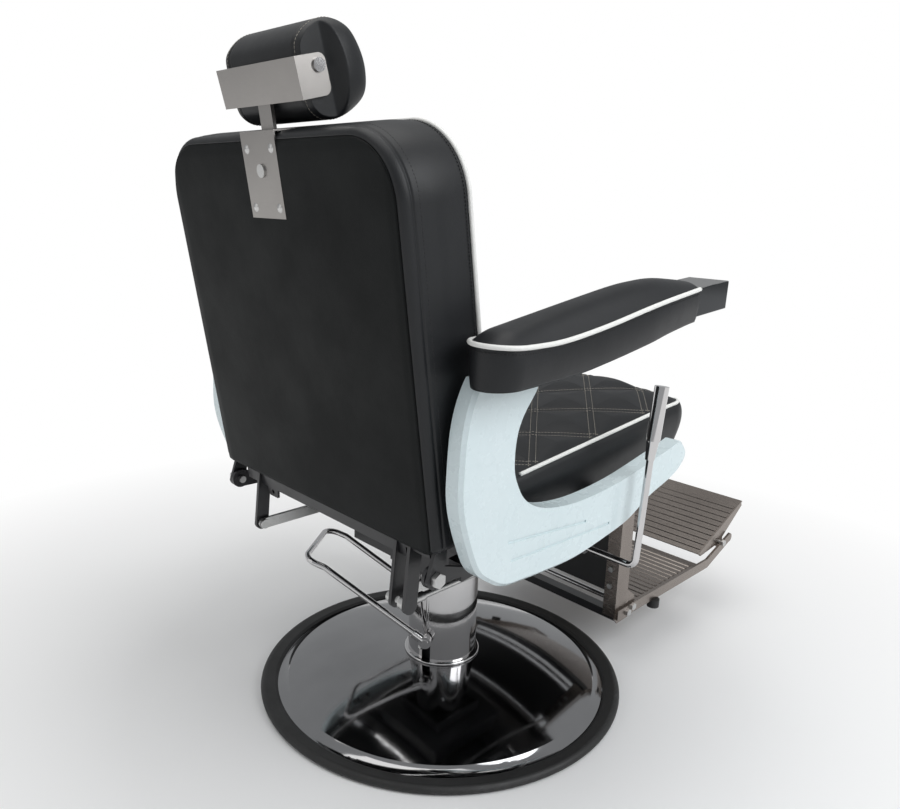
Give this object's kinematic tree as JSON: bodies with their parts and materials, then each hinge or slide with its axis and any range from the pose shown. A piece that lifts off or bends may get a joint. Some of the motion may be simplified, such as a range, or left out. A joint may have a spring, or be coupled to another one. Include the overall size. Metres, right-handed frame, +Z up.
{
  "type": "hydraulic barber chair",
  "caption": "hydraulic barber chair with a round chrome base, quilted seat, reclining back, sliding headrest, open side frames, pump pedal and hinged footrest",
  "frame": {"origin": "on the column's axis, in the floor plane under the base", "axes": "+Z up, -Y to the chair's front, +X to the sitter's left"},
  "size_m": [0.7536, 1.116, 1.0762],
  "materials": {
    "edge_rubber": "matt black moulded rubber",
    "mirror_chrome": "bright chrome plate",
    "plain_steel": "zinc plated steel",
    "cast_iron": "black painted iron",
    "black_steel": "satin black paint",
    "stainless": "satin stainless",
    "polished_steel": "polished stainless, warm reflections",
    "arm_cap": "dark chrome",
    "brass": "plain brass",
    "black_plastic": "matt black",
    "plywood": "birch plywood, covered in black vinyl where seen",
    "black_leather": "black upholstery leather over foam",
    "white_piping": "white piping",
    "white_gloss": "gloss white enamel on cast aluminium"
  },
  "bodies": {
    "base": {"base_ring": "edge_rubber", "base_dome": "mirror_chrome", "floor_plate": "cast_iron", "pump_cylinder": "cast_iron", "flange_bolts": "plain_steel", "column_cover": "mirror_chrome", "dust_cap": "black_plastic"},
    "pedal": {"pedal_rod": "mirror_chrome", "pedal_knuckles": "mirror_chrome", "pedal_studs": "mirror_chrome", "pedal_screws": "mirror_chrome", "pump_rocker": "plain_steel"},
    "ram": {"ram": "mirror_chrome", "thrust_washer": "brass"},
    "seat": {"carrier_box": "black_steel", "seat_frame": "black_steel", "frame_bolts": "plain_steel", "pivot_bolts": "plain_steel", "seat_board": "plywood", "seat_cushion": "black_leather", "seat_piping": "white_piping", "side_frame_left": "white_gloss", "side_frame_right": "white_gloss", "arm_boards": "plywood", "arm_pad_left": "black_leather", "arm_pad_right": "black_leather", "arm_piping": "white_piping", "arm_caps": "arm_cap", "strut_pin": "plain_steel"},
    "back": {"back_frame": "black_steel", "back_cushion": "black_leather", "back_panel": "plywood", "back_piping": "white_piping", "headrest_guide": "stainless", "guide_screws": "plain_steel", "lock_button": "mirror_chrome", "post_channel": "black_steel", "link_pins_rear": "plain_steel"},
    "headrest": {"headrest_post": "stainless", "headrest_bracket": "stainless"},
    "head_pad": {"headrest_pad": "black_leather", "headrest_board": "plywood", "headrest_pivots": "mirror_chrome"},
    "footrest": {"leg_plates": "polished_steel", "calf_panel": "black_plastic", "panel_bolts": "plain_steel", "leg_cross_bar": "black_steel", "leg_cross_rod": "mirror_chrome", "platform_arms": "polished_steel", "arm_bolts": "plain_steel", "lower_tread": "polished_steel", "rubber_feet": "edge_rubber", "link_pins_front": "plain_steel", "turn_pins": "plain_steel"},
    "turning_tread": {"turn_tread": "polished_steel"},
    "links": {"link_bars": "black_steel"},
    "strut_barrel": {"strut_cylinder": "black_steel"},
    "strut_piston": {"strut_rod": "plain_steel"},
    "lever": {"lever_rod": "mirror_chrome", "lever_grip": "mirror_chrome"}
  },
  "joints": [
    {"name": "pedal_press", "type": "hinge", "parent": "base", "child": "pedal", "pos_m": [0.0157, 0.0124, 0.104], "axis": [-0.6198, 0.7848, 0], "range_deg": [0, 18], "stiffness_Nm_per_rad": 12, "springref_deg": -20.05},
    {"name": "ram_lift", "type": "slide", "parent": "base", "child": "ram", "axis": [0, 0, 1], "range_m": [0, 0.15]},
    {"name": "seat_swivel", "type": "hinge", "parent": "ram", "child": "seat", "pos_m": [0, 0, 0.3], "axis": [0, 0, 1], "continuous": true},
    {"name": "back_recline", "type": "hinge", "parent": "seat", "child": "back", "pos_m": [0, 0.267, 0.374], "axis": [-1, 0, 0], "range_deg": [0, 50]},
    {"name": "footrest_lift", "type": "hinge", "parent": "seat", "child": "footrest", "pos_m": [0, -0.284, 0.384], "axis": [-1, 0, 0], "range_deg": [0, 50]},
    {"name": "link_swing", "type": "hinge", "parent": "back", "child": "links", "pos_m": [0, 0.267, 0.314], "axis": [-1, 0, 0], "range_deg": [-50, 0]},
    {"name": "strut_swing", "type": "hinge", "parent": "seat", "child": "strut_barrel", "pos_m": [-0.201, -0.06, 0.32436], "axis": [1, 0, 0], "range_deg": [0, 4.08]},
    {"name": "strut_stroke", "type": "slide", "parent": "strut_barrel", "child": "strut_piston", "axis": [0, 0.9995, -0.0317], "range_m": [-0.04601, 0]},
    {"name": "lever_pull", "type": "hinge", "parent": "seat", "child": "lever", "pos_m": [-0.3, -0.082, 0.318], "axis": [-1, 0, 0], "range_deg": [0, 18], "stiffness_Nm_per_rad": 6, "springref_deg": -20.05},
    {"name": "headrest_height", "type": "slide", "parent": "back", "child": "headrest", "axis": [0, 0.1623, 0.9867], "range_m": [0, 0.09]},
    {"name": "headrest_tilt", "type": "hinge", "parent": "headrest", "child": "head_pad", "pos_m": [0, 0.33603, 1.01674], "axis": [-1, 0, 0], "range_deg": [0, 20]},
    {"name": "tread_turn", "type": "hinge", "parent": "footrest", "child": "turning_tread", "pos_m": [0, -0.657, 0.153], "axis": [-1, 0, 0], "range_deg": [0, 135]}
  ],
  "couplings": [
    {"joint": "footrest_lift", "follows": "back_recline", "ratio": 1},
    {"joint": "link_swing", "follows": "back_recline", "ratio": -1},
    {"joint": "strut_swing", "follows": "back_recline", "ratio": 0.081416},
    {"joint": "strut_stroke", "follows": "back_recline", "m_per_rad": -0.052608}
  ]
}
